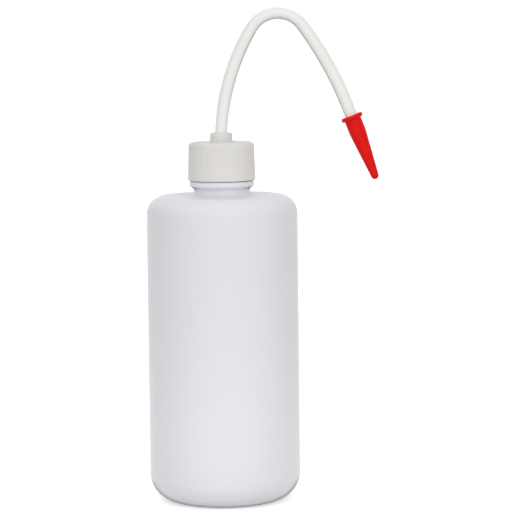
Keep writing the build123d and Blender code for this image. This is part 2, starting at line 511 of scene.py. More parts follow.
BOTTLE_PLASTIC = Finish(
    name="milky_polyethylene",
    tone=(0.79, 0.785, 0.85),
    second_tone=(0.80, 0.797, 0.825),
    patch_size=45 * MM,
    roughness=0.35,
    roughness_drift=0.03,
    grain_size=2.2 * MM,
    grain_height=0.02 * MM,
    draw=5.0,
    subsurface=0.35,
    scatter=(3.0, 3.0, 3.2),
    # Painted shade: a grey line round the base and under the bead
    painted_edge_shade=0.8,
)
TUBE_PLASTIC = Finish(
    name="tube_polyethylene",
    tone=(0.87, 0.855, 0.83),
    second_tone=(0.84, 0.83, 0.81),
    patch_size=14 * MM,
    roughness=0.36,
    roughness_drift=0.03,
    grain_size=1.1 * MM,
    grain_height=0.008 * MM,
    draw=6.0,
    # Painted shade: a grey line along the underside inside the tube's arch
    painted_edge_shade=0.9,
    painted_shade_span=(0.34, 0.70),
)
CAP_PLASTIC = Finish(
    name="cap_polypropylene",
    tone=(0.74, 0.72, 0.69),
    second_tone=(0.70, 0.69, 0.67),
    patch_size=12 * MM,
    roughness=0.45,
    roughness_drift=0.04,
    grain_size=0.35 * MM,
    grain_height=0.012 * MM,
    subsurface=0.25,
    scatter=(1.2, 1.15, 1.1),
)
TIP_PLASTIC = Finish(
    name="red_polyethylene",
    tone=(0.80, 0.006, 0.003),
    second_tone=(0.68, 0.004, 0.002),
    patch_size=9 * MM,
    roughness=0.36,
    roughness_drift=0.05,
    grain_size=0.5 * MM,
    grain_height=0.01 * MM,
    specular=0.10,
)
SEAL_FOAM = Finish(
    name="seal_foam",
    tone=(0.88, 0.88, 0.86),
    second_tone=(0.80, 0.80, 0.78),
    patch_size=0.8 * MM,
    roughness=0.85,
    roughness_drift=0.05,
    grain_size=0.25 * MM,
    grain_height=0.04 * MM,
)


def dress(piece: bpy.types.Object, kind: Piece, finish: bpy.types.Material, stands_for: bool) -> None:
    """Give a piece its finish and tie it to the frame.

    Args:
        piece: The object to dress.
        kind: The piece of the real object that it belongs to.
        finish: Its material.
        stands_for: Whether it takes the place of the CAD node.
    """
    piece.data.materials.append(finish)
    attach(piece, kind.body)
    if stands_for:
        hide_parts(kind.node)
    LOG.info("%s: %d faces on body %s", piece.name, len(piece.data.polygons), kind.body)


@dataclass
class ScrewThread:
    """A trapezoid ridge on a helix that fades in and out at its ends.

    Attributes:
        radius: Radius of the wall that carries it.
        start: Height of its middle where it starts, on +X.
        turns: Number of turns.
        outward: 1 for a ridge that points away from the axis, -1 for one that points to it.
        pitch: Rise in one turn.
        depth: Height of the ridge over its wall.
        crest: Width of its crest.
        flank: Width of each flank.
        bite: How far its foot reaches into the wall.
        fade: Share of a turn in which it rises to its full depth.
        end_width: Share of its width that is left where it has no depth.
        flank_point: Share of the depth at which a point in the flank keeps it straight.
        easing: Size of the rounding between flank and crest.
        corner: Points of that rounding, as shares of its size below the crest and in from its edge.
        steps: Number of sections in one turn.
    """

    radius: float
    start: float
    turns: float
    outward: float
    pitch: float = 4.23 * MM
    depth: float = 1.2 * MM
    crest: float = 0.9 * MM
    flank: float = 0.6 * MM
    bite: float = 0.3 * MM
    fade: float = 0.08
    end_width: float = 0.25
    flank_point: float = 0.35
    easing: float = 0.22 * MM
    corner: tuple[Point, ...] = ((0.3, 0.1), (0.0, 0.6))
    steps: int = 120

    def section(self) -> tuple[np.ndarray, np.ndarray]:
        """Draw half of the section, from its foot to the middle of the crest, and mirror it.

        Returns:
            Height over the wall, and place along the axis, of each point.
        """
        slope = self.flank / self.depth
        edge = self.crest / 2
        foot = edge + self.flank
        point = self.depth * self.flank_point
        below, inward = self.easing * np.array(self.corner).T
        eased = (self.depth - self.easing, edge + self.easing * slope)
        lift = np.array([-self.bite, 0.0, point, eased[0], *(self.depth - below), self.depth])
        width = np.array([foot, foot, foot - point * slope, eased[1], *(edge - inward), 0.0])
        return np.concatenate([lift, lift[-2::-1]]), np.concatenate([width, -width[-2::-1]])

    def build(self, name: str) -> bpy.types.Object:
        """Carry the section along the helix.

        The section is a trapezoid with its corners cut by small arcs. At turn t its place is
        (R cos 2πt, R sin 2πt, start + pitch · t), and its depth is scaled by a smooth step that
        rises over the fade at the first end and falls over it at the last.

        Args:
            name: Name of the object.

        Returns:
            The ridge as a closed mesh.
        """
        turn = np.linspace(0.0, self.turns, int(self.steps * self.turns))[:, None]
        rise = smoothstep(turn, 0.0, self.fade) * smoothstep(turn, self.turns, self.turns - self.fade)
        lift, width = self.section()
        height = np.where(lift > 0.0, lift * rise, lift)
        spread = width * (self.end_width + (1.0 - self.end_width) * rise)
        angle = 2.0 * math.pi * turn
        radius = self.radius + self.outward * height
        along = self.start + self.pitch * turn + spread
        rings = np.stack([radius * np.cos(angle), radius * np.sin(angle), along], axis=-1)
        return solid_from_rings(name, rings, closed=False)


@dataclass(frozen=True)
class Ripple:
    """One long wave of the blown wall.

    Attributes:
        around: Number of waves round the body.
        rate: Turn of the wave with height, in radians a metre.
        phase: Where it starts, in radians.
        weight: Its height beside the others.
    """

    around: float
    rate: float
    phase: float
    weight: float

    def at(self, angle: np.ndarray, height: np.ndarray) -> np.ndarray:
        """Height of the wave, weight · sin(around · angle + rate · height + phase)."""
        return self.weight * np.sin(self.around * angle + self.rate * height + self.phase)


@dataclass
class Bottle:
    """The blown squeeze bottle with its neck, bead and lip.

    Attributes:
        radius: Outer radius of the body.
        shoulder_height: Height of the flat shoulder.
        shoulder_radius: Rounding between side and shoulder.
        base_radius: Rounding between side and standing ring.
        wall: Thickness of the wall.
        ring_width: Width of the flat standing ring.
        push_up: Height of the base's middle over the ring.
        pole_gap: Angle left open at the base's middle, in degrees, which the mesh's pole closes.
        neck_bore: Radius of the hollow in the neck.
        neck_root: Rounding between shoulder and collar.
        neck_mouth: Rounding between the hollow's roof and the bore.
        finish_radius: Radius of the neck under the thread.
        collar_radius: Radius of the neck under the bead.
        bead_radius: Radius of the bead.
        bead_foot: Height of the bead's foot over the shoulder.
        bead_bevel: Height of the bead's slanted under side.
        bead_rim: Height of its straight rim.
        bead_edge: Rounding of its upper edge.
        ease: Rounding of the neck's other corners.
        bevel_lift: How far over the bead's foot the slant starts.
        bevel_dip: How far under the rim's foot it ends.
        lip_round: Rounding of the lip.
        seam_height: Height of the mould seams.
        seam_width: Half width of a seam.
        seam_samples: Places of the columns beside a seam, in seam widths.
        ripple: Depth of the ripples.
        ripples: Waves that they are the sum of.
        skin_foot: Heights between which seams and ripples come in.
        skin_head: Distances under the shoulder between which they come in.
        columns: Number of even columns round the body.
        thread_turns: Turns of the thread.
        pinch: Half length, half width and height of the pinch-off line.
        pinch_end: Size of its section at both ends, as a share of the middle's.
    """

    radius: float = 37.47 * MM
    shoulder_height: float = 152.5 * MM
    shoulder_radius: float = 9.5 * MM
    base_radius: float = 13.5 * MM
    wall: float = 1.2 * MM
    ring_width: float = 2.5 * MM
    push_up: float = 2.4 * MM
    pole_gap: float = 0.5
    neck_bore: float = 10.8 * MM
    neck_root: float = 1.2 * MM
    neck_mouth: float = 1.5 * MM
    finish_radius: float = 12.6 * MM
    collar_radius: float = 13.85 * MM
    bead_radius: float = 15.9 * MM
    bead_foot: float = 3.1 * MM
    bead_bevel: float = 1.3 * MM
    bead_rim: float = 2.62 * MM
    bead_edge: float = 0.6 * MM
    ease: float = 0.35 * MM
    bevel_lift: float = 0.21 * MM
    bevel_dip: float = 0.105 * MM
    lip_round: float = 0.45 * MM
    seam_height: float = 0.09 * MM
    seam_width: float = 0.35 * MM
    seam_samples: tuple[float, ...] = (-3.0, -2.0, -1.3, -0.8, -0.4, 0.4, 0.8, 1.3, 2.0, 3.0)
    ripple: float = 0.05 * MM
    ripples: tuple[Ripple, ...] = (
        Ripple(around=3.0, rate=55.0, phase=0.0, weight=1.0),
        Ripple(around=5.0, rate=-90.0, phase=1.3, weight=1.0),
        Ripple(around=2.0, rate=140.0, phase=4.0, weight=0.7),
    )
    skin_foot: Point = (4.0 * MM, 16.0 * MM)
    skin_head: Point = (1.0 * MM, 10.0 * MM)
    columns: int = 216
    thread_turns: float = 1.5
    pinch: tuple[float, float, float] = (11.0 * MM, 0.7 * MM, 0.45 * MM)
    pinch_end: float = 0.01

    @property
    def bead_top(self) -> float:
        """Height of the bead's upper face."""
        return self.shoulder_height + self.bead_foot + self.bead_bevel + self.bead_rim

    @property
    def ring_inner(self) -> float:
        """Inner radius of the standing ring."""
        return self.radius - self.base_radius - self.ring_width

    @property
    def push_turn(self) -> float:
        """Angle of each of the two arcs of the pushed-up base, 2 · atan(push_up / ring_inner)."""
        return 2.0 * math.atan(self.push_up / self.ring_inner)

    @property
    def push_bend(self) -> float:
        """Radius of these arcs, ring_inner / (2 sin push_turn)."""
        return self.ring_inner / (2.0 * math.sin(self.push_turn))

    def wall_profile(self, inset: float) -> np.ndarray:
        """Outline the body from the middle of its base to the edge of its shoulder.

        Two equal arcs drop the middle to the standing ring, then come the base's quarter arc, the
        straight side and the shoulder's quarter arc.

        Args:
            inset: Distance inside the outer skin.

        Returns:
            Points as radius and height.
        """
        outer, inner, bend = self.radius - self.base_radius, self.ring_inner, self.push_bend
        fall = math.degrees(self.push_turn)
        shoulder = (self.radius - self.shoulder_radius, self.shoulder_height - self.shoulder_radius)
        side = self.radius - inset
        return joined(
            arc((0.0, self.push_up - bend), bend + inset, 90.0 - self.pole_gap, 90.0 - fall, 12),
            arc((inner, bend), bend - inset, 270.0 - fall, 270.0, 12),
            line((inner, inset), (outer, inset), 4),
            arc((outer, self.base_radius), self.base_radius - inset, 270.0, 360.0, 22),
            line((side, self.base_radius), (side, shoulder[1]), 40),
            arc(shoulder, self.shoulder_radius - inset, 0.0, 90.0, 18),
        )

    def outer_profile(self) -> np.ndarray:
        """Outline the outside, from the base's middle over shoulder, collar and bead to the lip.

        Returns:
            Points as radius and height.
        """
        flat, collar, finish, ease = self.shoulder_height, self.collar_radius, self.finish_radius, self.ease
        root = (collar + self.neck_root, flat + self.neck_root)
        bead = flat + self.bead_foot
        rim = bead + self.bead_bevel
        top, edge = self.bead_top, self.bead_edge
        slant_foot = (collar + ease, bead + self.bevel_lift)
        slant_head = (self.bead_radius - ease, rim - self.bevel_dip)
        lip, rounding = Piece.BOTTLE.top, self.lip_round
        return joined(
            self.wall_profile(0.0),
            line((self.radius - self.shoulder_radius, flat), (root[0], flat), 12),
            arc(root, self.neck_root, 270.0, 180.0, 8),
            line((collar, root[1]), (collar, bead - ease), 4),
            line((collar, bead - ease), slant_foot, 3),
            line(slant_foot, slant_head, 5),
            arc((self.bead_radius - ease, rim + ease), ease, -60.0, 0.0, 5),
            line((self.bead_radius, rim + ease), (self.bead_radius, top - edge), 4),
            arc((self.bead_radius - edge, top - edge), edge, 0.0, 90.0, 7),
            line((self.bead_radius - edge, top), (finish + ease, top), 5),
            arc((finish + ease, top + ease), ease, 270.0, 180.0, 5),
            line((finish, top + ease), (finish, lip - rounding), 16),
            arc((finish - rounding, lip - rounding), rounding, 0.0, 90.0, 6),
        )

    def inner_profile(self) -> np.ndarray:
        """Outline the hollow, from the lip down the bore and the wall to the base's middle.

        Returns:
            Points as radius and height.
        """
        roof, lip = self.shoulder_height - self.wall, Piece.BOTTLE.top
        bore, edge = self.neck_bore, self.lip_round
        mouth = (bore + self.neck_mouth, roof + self.neck_mouth)
        upward = joined(
            self.wall_profile(self.wall),
            line((self.radius - self.shoulder_radius, roof), (mouth[0], roof), 8),
            arc(mouth, self.neck_mouth, 270.0, 180.0, 7),
            line((bore, mouth[1]), (bore, lip - edge), 12),
            arc((bore + edge, lip - edge), edge, 180.0, 90.0, 6),
        )
        return upward[::-1]

    def angles(self) -> np.ndarray:
        """Spread the columns evenly, with extra ones beside the two mould seams, on +X and -X.

        Returns:
            Rising angles in radians.
        """
        beside = np.array(self.seam_samples) * self.seam_width / self.radius
        together = np.concatenate([even_angles(self.columns), beside, math.pi + beside])
        return np.unique(np.round(np.mod(together, 2.0 * math.pi), 9))

    def skin_change(self, rings: np.ndarray, rows: int) -> np.ndarray:
        """How far the outer skin stands off its profile, never outside it.

        The mould's seams stand at full height and the skin between them is lower by the seam's
        height, times 1 - exp(-(d / width)²) with d the distance from the nearer seam. Long ripples
        of the blown wall, a sum of sines in angle and height, lower it a little more.

        Args:
            rings: Grid of the turned profile.
            rows: Number of its rows that belong to the outside of the body.

        Returns:
            The change of radius at each point, negative or nought.
        """
        angle = np.arctan2(rings[..., 1], rings[..., 0])
        height = rings[..., 2]
        off_seam = 1.0 - np.exp(-((np.sin(angle) * self.radius / self.seam_width) ** 2))
        wave = sum(ripple.at(angle, height) for ripple in self.ripples)
        reach = sum(ripple.weight for ripple in self.ripples)
        depth = self.seam_height + self.ripple * (wave + reach) / (2.0 * reach)
        body = smoothstep(height, *self.skin_foot)
        body *= smoothstep(self.shoulder_height - height, *self.skin_head)
        change = -depth * off_seam * body
        change[rows:] = 0.0
        return change

    def neck_thread(self) -> ScrewThread:
        """The thread outside the neck, in the middle between the cap's foot and the lip."""
        start = (Piece.CAP.bottom + Piece.BOTTLE.top - self.thread_turns * ScrewThread.pitch) / 2
        return ScrewThread(self.finish_radius, start, self.thread_turns, 1.0)

    def pinch_off(self) -> bpy.types.Object:
        """Build the raised line where the mould pinched the hot tube shut, across the base's middle.

        At x its middle follows the base's arc, z = push_up - bend + sqrt(bend² - x²), and its
        section is an ellipse, half of it in the wall, whose size falls as sqrt(1 - share⁴).

        Returns:
            The line as a closed mesh.
        """
        half_length, half_width, height = self.pinch
        share = np.linspace(-1.0, 1.0, 41)[:, None]
        size = np.sqrt(np.maximum(1.0 - share**4, self.pinch_end**2))
        around = even_angles(12)[None, :]
        x = share * half_length
        base = self.push_up - self.push_bend + np.sqrt(self.push_bend**2 - x**2)
        y = half_width * size * np.cos(around)
        z = base + height * size * np.sin(around)
        return solid_from_rings("pinch_off", np.stack(np.broadcast_arrays(x, y, z), axis=-1), closed=False)

    def build(self) -> None:
        """Build the bottle, its neck thread and the pinch-off line under its base."""
        finish = BOTTLE_PLASTIC.material()
        outer = self.outer_profile()
        rings = turned(joined(outer, self.inner_profile()), self.angles())
        rings = stretch_radially(rings, self.skin_change(rings, len(outer)))
        dress(solid_from_rings("squeeze_bottle", rings, closed=False), Piece.BOTTLE, finish, True)
        dress(self.neck_thread().build("neck_thread"), Piece.BOTTLE, finish, False)
        dress(self.pinch_off(), Piece.BOTTLE, finish, False)


@dataclass
class SealingWasher:
    """The soft disc between the lip and the cap's roof.

    Attributes:
        radius: Outer radius.
        hole: Radius of its hole.
        edge: Rounding of its edges.
        columns: Number of columns round it.
    """

    radius: float = 12.5 * MM
    hole: float = 3.05 * MM
    edge: float = 0.12 * MM
    columns: int = 96

    def build(self) -> None:
        """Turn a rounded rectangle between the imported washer's faces."""
        bottom, top, e = Piece.WASHER.bottom, Piece.WASHER.top, self.edge
        profile = joined(
            line((self.hole + e, bottom), (self.radius - e, bottom), 10),
            arc((self.radius - e, bottom + e), e, 270.0, 360.0, 5),
            arc((self.radius - e, top - e), e, 0.0, 90.0, 5),
            line((self.radius - e, top), (self.hole + e, top), 10),
            arc((self.hole + e, top - e), e, 90.0, 180.0, 5),
            arc((self.hole + e, bottom + e), e, 180.0, 269.0, 5),
        )
        rings = turned(profile, even_angles(self.columns))
        dress(solid_from_rings("seal_disc", rings, closed=True), Piece.WASHER, SEAL_FOAM.material(), True)


@dataclass
class ScrewCap:
    """The ribbed cap with the boss that grips the tube.

    Attributes:
        bore: Inner radius of the skirt.
        top_radius: Outer radius at the top rounding.
        foot_radius: Outer radius at the foot.
        plate: Thickness of the roof.
        corner: Rounding between skirt and top.
        band: Height of the plain band at the foot.
        mouth: Width and height of the bevel inside the foot.
        small: Rounding of the other edges.
        boss_height: Height of the boss over the top.
        boss_radius: Radius of the boss at its upper edge.
        boss_draft: How much wider it is at its foot.
        boss_edge: Rounding of its upper edge.
        boss_foot: Rounding at its foot.
        hole: Radius of the hole for the tube.
        ribs: Number of ribs.
        rib_depth: Depth of the grooves between them.
        groove_half: Half width of a groove, as a share of the ribs' pitch.
        groove_rise: Height over the band in which the grooves come in.
        groove_fade: Heights in the top rounding where they start to fade and where they are gone.
        skirt_limit: How far outside the bore the grooved surface lies at least.
        samples_per_rib: Number of columns for one rib.
        thread_turns: Turns of the thread inside.
        thread_play: Gap along the axis between its flank and the neck thread's.
    """

    bore: float = 14.1 * MM
    top_radius: float = 16.2 * MM
    foot_radius: float = 16.7 * MM
    plate: float = 1.6 * MM
    corner: float = 2.0 * MM
    band: float = 1.8 * MM
    mouth: float = 0.5 * MM
    small: float = 0.3 * MM
    boss_height: float = 4.6 * MM
    boss_radius: float = 5.35 * MM
    boss_draft: float = 0.25 * MM
    boss_edge: float = 0.8 * MM
    boss_foot: float = 0.4 * MM
    hole: float = 3.05 * MM
    ribs: int = 72
    rib_depth: float = 0.13 * MM
    groove_half: float = 0.30
    groove_rise: float = 0.4 * MM
    groove_fade: Point = (0.2 * MM, 1.1 * MM)
    skirt_limit: float = 1.0 * MM
    samples_per_rib: int = 8
    thread_turns: float = 1.2
    thread_play: float = 0.15 * MM

    @property
    def top(self) -> float:
        """Height of the flat top round the boss."""
        return Piece.CAP.top - self.boss_height

    def profile(self) -> np.ndarray:
        """Outline the cap: up the skirt, over the top and the boss, down its hole and the inside.

        Returns:
            Points of a closed line, as radius and height.
        """
        foot, top, boss_top = Piece.CAP.bottom, self.top, Piece.CAP.top
        roof, small = top - self.plate, self.small
        corner = (self.top_radius - self.corner, top - self.corner)
        boss_side = self.boss_radius + self.boss_draft
        boss_rim, fillet = self.boss_radius - self.boss_edge, self.boss_foot
        return joined(
            line((self.bore + self.mouth, foot), (self.foot_radius - small, foot), 5),
            arc((self.foot_radius - small, foot + small), small, 270.0, 358.0, 5),
            line((self.foot_radius, foot + small), (self.top_radius, corner[1]), 44),
            arc(corner, self.corner, 0.0, 90.0, 14),
            line((corner[0], top), (boss_side + fillet, top), 12),
            arc((boss_side + fillet, top + fillet), fillet, 270.0, 180.0, 6),
            line((boss_side, top + fillet), (self.boss_radius, boss_top - self.boss_edge), 6),
            arc((boss_rim, boss_top - self.boss_edge), self.boss_edge, 0.0, 90.0, 8),
            line((boss_rim, boss_top), (self.hole + small, boss_top), 4),
            arc((self.hole + small, boss_top - small), small, 90.0, 180.0, 5),
            line((self.hole, boss_top - small), (self.hole, roof), 6),
            line((self.hole, roof), (self.bore - small, roof), 8),
            arc((self.bore - small, roof - small), small, 90.0, 0.0, 4),
            line((self.bore, roof - small), (self.bore, foot + self.mouth), 10),
        )

    def groove_depth(self, rings: np.ndarray) -> np.ndarray:
        """Depth of the grip grooves at each point of the turned grid.

        Round the cap the depth falls and rises as a rounded V about the middle of each rib's
        pitch. Up the cap it comes in over the band and goes out in the top rounding.

        Args:
            rings: Grid of the turned profile.

        Returns:
            The change of radius, negative in a groove.
        """
        angle = np.arctan2(rings[..., 1], rings[..., 0])
        height = rings[..., 2]
        phase = np.abs(np.mod(angle * self.ribs / (2.0 * math.pi) + 0.5, 1.0) - 0.5)
        valley = smoothstep(phase, self.groove_half, 0.0)
        start, end = Piece.CAP.bottom + self.band, self.top - self.corner
        full, gone = self.groove_fade
        window = smoothstep(height, start, start + self.groove_rise)
        window *= smoothstep(height, end + gone, end + full)
        skirt = np.hypot(rings[..., 0], rings[..., 1]) > self.bore + self.skirt_limit
        return np.where(skirt, -self.rib_depth * valley * window, 0.0)

    def cap_thread(self) -> ScrewThread:
        """Lay the thread inside the cap, flank to flank under the neck's.

        Returns:
            The thread.
        """
        neck = Bottle().neck_thread()
        root = neck.crest + 2.0 * neck.flank
        meeting = root - neck.flank / neck.depth * (self.bore - neck.radius)
        return ScrewThread(self.bore, neck.start - meeting - self.thread_play, self.thread_turns, -1.0)

    def build(self) -> None:
        """Build the cap and the thread inside it."""
        finish = CAP_PLASTIC.material()
        rings = turned(self.profile(), even_angles(self.ribs * self.samples_per_rib))
        rings = stretch_radially(rings, self.groove_depth(rings))
        dress(solid_from_rings("ribbed_cap", rings, closed=True), Piece.CAP, finish, True)
        dress(self.cap_thread().build("cap_thread"), Piece.CAP, finish, False)


@dataclass(frozen=True)
class Bend:
    """An arc of the tube: its radius, and its turn in degrees."""

    radius: float
    turn: float

    @property
    def angle(self) -> float:
        """Turn in radians."""
        return math.radians(self.turn)

    @property
    def run(self) -> tuple[float, float]:
        """Length of the arc, and its turn in radians."""
        return self.radius * self.angle, self.angle


@dataclass
class TubeRoute:
    """The tube's middle line in the plane y = 0, from the jet's mouth to the dip end.

    The line is known by its heading, the angle from +Z towards +X, which changes evenly with
    length over each arc. Summing chords of constant curvature gives the places.

    Attributes:
        lip: Height of the bottle's lip, where the stem's walks up and down part.
        lean_start: Height where the straight stem ends.
        lean: Bend inside the boss.
        rise: Bend of the left leg.
        crown: Bend at the top.
        fall: Bend of the spout.
        fall_run: Straight length after it.
        seat: Length of the tube that the tip cap grips.
        jet: Length of the drawn jet.
        dip_bend: Bend under the lip.
        dip_end: Place of the dip end, as x and z.
        step: Distance between stations.
    """

    lip: float = 176.1 * MM
    lean_start: float = 182.0 * MM
    lean: Bend = Bend(25.0 * MM, 2.5)
    rise: Bend = Bend(109.0 * MM, 28.4)
    crown: Bend = Bend(15.2 * MM, 112.6)
    fall: Bend = Bend(171.0 * MM, 15.4)
    fall_run: float = 4.7 * MM
    seat: float = 5.0 * MM
    jet: float = 20.0 * MM
    dip_bend: Bend = Bend(85.0 * MM, 17.5)
    dip_end: Point = (-28.8 * MM, 8.7 * MM)
    step: float = 0.9 * MM

    def _walk(self, heading: float, runs: list[tuple[float, float]]) -> np.ndarray:
        """Walk from the lip along runs of constant curvature.

        Args:
            heading: First heading in radians.
            runs: Length, and turn in radians, of each run.

        Returns:
            Rows of x, z and heading.
        """
        rows = [(0.0, self.lip, heading)]
        for length, turn in runs:
            count = max(2, round(length / self.step))
            small = turn / count
            chord = length / count * np.sinc(small / (2.0 * math.pi))
            middle = heading + small * (np.arange(count) + 0.5)
            x = rows[-1][0] + np.cumsum(chord * np.sin(middle))
            z = rows[-1][1] + np.cumsum(chord * np.cos(middle))
            rows += list(zip(x, z, heading + small * np.arange(1, count + 1)))
            heading += turn
        return np.array(rows)

    def stations(self) -> tuple[np.ndarray, np.ndarray, np.ndarray]:
        """Sample the line from the jet's mouth to the dip end.

        Returns:
            Points as x and z, directions as x and z, and the length from the jet's mouth.
        """
        bends = [bend.run for bend in (self.lean, self.rise, self.crown, self.fall)]
        straight_end = (self.fall_run + self.seat + self.jet, 0.0)
        up = self._walk(0.0, [(self.lean_start - self.lip, 0.0), *bends, straight_end])

        radius, bend = self.dip_bend.radius, self.dip_bend.angle
        corner = (-radius * (1.0 - math.cos(bend)), self.lip - radius * math.sin(bend))
        across, down = self.dip_end[0] - corner[0], corner[1] - self.dip_end[1]
        chord, lean = math.hypot(across, down), math.atan2(-across, down)
        back = 2.0 * (lean - bend)
        length = chord * (back / 2.0) / math.sin(back / 2.0)
        down_line = self._walk(math.pi, [self.dip_bend.run, (length, back)])

        points = np.vstack([up[::-1, :2], down_line[1:, :2]])
        heading = np.concatenate([up[::-1, 2] + math.pi, down_line[1:, 2]])
        direction = np.column_stack([np.sin(heading), np.cos(heading)])
        gaps = np.linalg.norm(np.diff(points, axis=0), axis=1)
        return points, direction, np.concatenate([[0.0], np.cumsum(gaps)])


@dataclass
class DeliveryTube:
    """The bent tube: jet, crown, stem and dip end as one open-ended wall.

    Attributes:
        radius: Outer radius.
        bore: Inner radius.
        jet_radius: Outer radius of the jet.
        jet_bore: Inner radius of the jet.
        jet_taper: Length over which the jet widens to the tube.
        jet_land: Length of the jet's even end.
        flattening: Share of the radius that the crown loses in the plane of the bend.
        widening: Share that it gains across that plane.
        crown_reach: How far from the top this falls to 1/e, in radii of the crown.
        cut_angle: Slant of the dip end, in degrees.
        cut_reach: Length over which the slant comes in.
        columns: Number of columns round the tube.
    """

    radius: float = 3.0 * MM
    bore: float = 2.0 * MM
    jet_radius: float = 1.3 * MM
    jet_bore: float = 0.6 * MM
    jet_taper: float = 16.0 * MM
    jet_land: float = 4.0 * MM
    flattening: float = 0.10
    widening: float = 0.04
    crown_reach: float = 1.15
    cut_angle: float = 35.0
    cut_reach: float = 14.0 * MM
    columns: int = 40

    def wall_rings(self, route: TubeRoute, jet: float, full: float) -> np.ndarray:
        """Carry a circle along the route.

        A point at angle a of station s is P(s) + r(s) · (cos a · N(s) · u + sin a · Y · v), with N
        the normal in the plane of the bend and r rising by a smooth step from the jet's land over
        its taper. On the crown u falls and v grows, because a bent tube flattens. Over the last
        stretch each point moves back along the line in step with its distance from the outer side,
        which slants the dip end.

        Args:
            route: The tube's line.
            jet: Radius of this wall at the jet.
            full: Radius of this wall along the tube.

        Returns:
            Rings from the jet's mouth to the dip end.
        """
        points, direction, length = route.stations()
        normal = np.column_stack([-direction[:, 1], direction[:, 0]])
        radius = jet + (full - jet) * smoothstep(length, self.jet_land, self.jet_land + self.jet_taper)
        top = length[np.argmax(points[:, 1])]
        squeeze = np.exp(-(((length - top) / (route.crown.radius * self.crown_reach)) ** 2))
        angle = even_angles(self.columns)[None, :]
        in_plane = (radius * (1.0 - self.flattening * squeeze))[:, None] * np.cos(angle)
        side = (radius * (1.0 + self.widening * squeeze))[:, None] * np.sin(angle)
        share = smoothstep(length[-1] - length, self.cut_reach, 0.0)[:, None]
        outward = normal[-1, 0] * np.cos(angle) * full
        lift = (self.radius + outward) * math.tan(math.radians(self.cut_angle)) * share
        x = points[:, :1] + normal[:, :1] * in_plane - direction[:, :1] * lift
        z = points[:, 1:] + normal[:, 1:] * in_plane - direction[:, 1:] * lift
        return np.stack([x, side, z], axis=-1)

    def build(self) -> None:
        """Join the outer wall and the bore, end to end, into one closed mesh."""
        route = TubeRoute()
        outer = self.wall_rings(route, self.jet_radius, self.radius)
        inner = self.wall_rings(route, self.jet_bore, self.bore)
        rings = np.concatenate([outer, inner[::-1]])
        dress(solid_from_rings("bent_tube", rings, closed=True), Piece.TUBE, TUBE_PLASTIC.material(), True)


@dataclass
class TipCap:
    """The red cap over the jet, drawn along the tube's end from its open end at nought.

    Attributes:
        socket: Radius of the socket that grips the tube.
        sleeve: Outer radius over the socket.
        rim: Radius of the finger rim.
        rim_thickness: Thickness of the rim.
        rim_round: Rounding of its edges.
        edge: Rounding of the other edges.
        sleeve_end: Where the sleeve ends and the taper starts.
        socket_depth: Depth of the socket.
        pocket: Radius of the pocket for the jet.
        pocket_end: Where the pocket ends.
        pocket_cone: Length of the cone at its end.
        pocket_point: Radius of that cone's end.
        length: Length of the cap.
        nose: Radius of the taper at the rounded nose.
        pole_gap: Angle left open at the nose, in degrees, which the mesh's pole closes.
        columns: Number of columns round the cap.
    """

    socket: float = 3.05 * MM
    sleeve: float = 4.2 * MM
    rim: float = 5.45 * MM
    rim_thickness: float = 2.0 * MM
    rim_round: float = 0.6 * MM
    edge: float = 0.25 * MM
    sleeve_end: float = 9.0 * MM
    socket_depth: float = 8.0 * MM
    pocket: float = 1.65 * MM
    pocket_end: float = 27.0 * MM
    pocket_cone: float = 0.4 * MM
    pocket_point: float = 0.1 * MM
    length: float = 33.8 * MM
    nose: float = 1.9 * MM
    pole_gap: float = 2.0
    columns: int = 80

    def profile(self) -> np.ndarray:
        """Outline the cap from the nose over the outside to the rim, and down the socket.

        Returns:
            Points as radius and distance from the open end.
        """
        e, socket, sleeve = self.edge, self.socket, self.sleeve
        slope = math.atan2(sleeve - self.nose, self.length - self.nose - self.sleeve_end)
        ball = self.nose / math.cos(slope)
        middle = self.length - ball
        rim, rim_round, thickness = self.rim - self.rim_round, self.rim_round, self.rim_thickness
        cone = self.pocket_end - self.pocket_cone
        return joined(
            arc((0.0, middle), ball, 90.0 - self.pole_gap, math.degrees(slope), 12),
            line((self.nose, middle + ball * math.sin(slope)), (sleeve, self.sleeve_end), 26),
            line((sleeve, self.sleeve_end), (sleeve, thickness + e), 10),
            arc((sleeve + e, thickness + e), e, 180.0, 270.0, 5),
            arc((rim, thickness - rim_round), rim_round, 90.0, 0.0, 7),
            arc((rim, rim_round), rim_round, 0.0, -90.0, 7),
            line((rim, 0.0), (socket + e, 0.0), 5),
            arc((socket + e, e), e, 270.0, 180.0, 4),
            line((socket, e), (socket, self.socket_depth), 6),
            line((socket, self.socket_depth), (self.pocket, cone), 12),
            line((self.pocket, cone), (self.pocket_point, self.pocket_end), 5),
        )

    def build(self) -> None:
        """Turn the profile and carry it to the end of the tube's visible line."""
        route = TubeRoute()
        points, direction, _ = route.stations()
        along = -np.array([direction[0, 0], 0.0, direction[0, 1]])
        origin = np.array([points[0, 0], 0.0, points[0, 1]]) - along * (route.jet + route.seat)
        across = np.array([0.0, 1.0, 0.0])
        axes = np.stack([across, np.cross(along, across), along])
        placed = origin + turned(self.profile(), even_angles(self.columns)) @ axes
        dress(solid_from_rings("red_tip_cap", placed, closed=False), Piece.TIP, TIP_PLASTIC.material(), True)


@dataclass(frozen=True)
class Lobe:
    """A softbox of the sky: the way to its middle, and the light that it adds there."""

    axis: Direction
    strength: float


